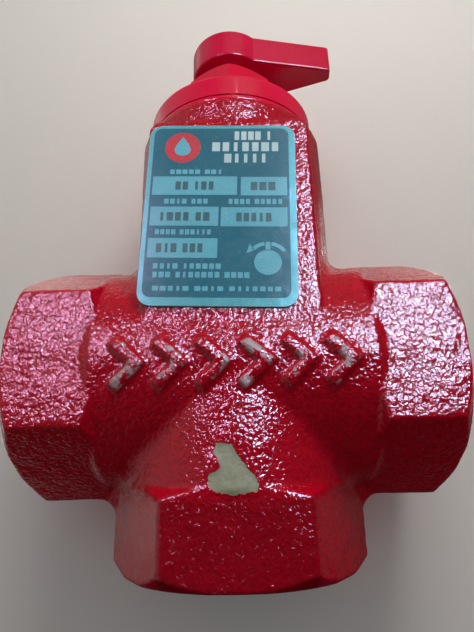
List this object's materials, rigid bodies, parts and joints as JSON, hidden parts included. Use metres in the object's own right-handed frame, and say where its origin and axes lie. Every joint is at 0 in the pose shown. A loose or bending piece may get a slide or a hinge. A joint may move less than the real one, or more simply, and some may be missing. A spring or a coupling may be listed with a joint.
{
  "type": "flow control valve",
  "caption": "Three-port flow control valve with hexagonal threaded hubs, a screwed cap, a quarter-turn lever and a weighted check disc inside.",
  "frame": {"origin": "where the stem axis crosses the common axis of the two side ports", "axes": "+Z along the stem towards the lever, +X out of the outlet port, -X out of the side inlet, -Z out of the bottom inlet, -Y the nameplate side"},
  "size_m": [0.0794, 0.044, 0.1205],
  "materials": {
    "casting_enamel": "glossy red enamel over rough sand casting",
    "cap_enamel": "smooth glossy red enamel",
    "lever_enamel": "smooth glossy red enamel",
    "nut_enamel": "smooth glossy red enamel",
    "plate_foil": "printed foil, satin",
    "steel": "turned stainless steel",
    "zinc_steel": "zinc-plated steel",
    "brass": "turned brass",
    "bronze": "turned bronze",
    "facing_rubber": "moulded rubber",
    "gasket_fibre": "dark fibre sheet",
    "packing": "graphited braid"
  },
  "bodies": {
    "valve_body": {"body_casting": "casting_enamel", "seat_ring": "bronze", "bonnet_gasket": "gasket_fibre", "bonnet": "cap_enamel", "guide_sleeve": "brass", "guide_key": "steel", "thrust_washer": "brass", "packing_washer": "brass", "packing_ring_1": "packing", "packing_ring_2": "packing", "packing_ring_3": "packing", "packing_gland": "brass", "packing_nut": "nut_enamel", "nameplate": "plate_foil"},
    "lever_group": {"stem": "steel", "cross_pin": "steel", "lever": "lever_enamel", "lock_washer": "zinc_steel", "lever_screw": "zinc_steel"},
    "lifter_group": {"lifter": "bronze", "lifter_nut": "zinc_steel"},
    "disc_group": {"check_disc": "brass", "disc_facing": "facing_rubber", "disc_nose": "brass"}
  },
  "joints": [
    {"name": "lever_turn", "type": "hinge", "parent": "valve_body", "child": "lever_group", "pos_m": [0, 0, 0.08], "axis": [0, 0, 1], "range_deg": [0, 90]},
    {"name": "lifter_rise", "type": "slide", "parent": "valve_body", "child": "lifter_group", "axis": [0, 0, 1], "range_m": [0, 0.005]},
    {"name": "disc_float", "type": "slide", "parent": "lifter_group", "child": "disc_group", "axis": [0, 0, 1], "range_m": [0, 0.007]}
  ],
  "couplings": [
    {"joint": "lifter_rise", "follows": "lever_turn", "m_per_rad": 0.003183}
  ]
}
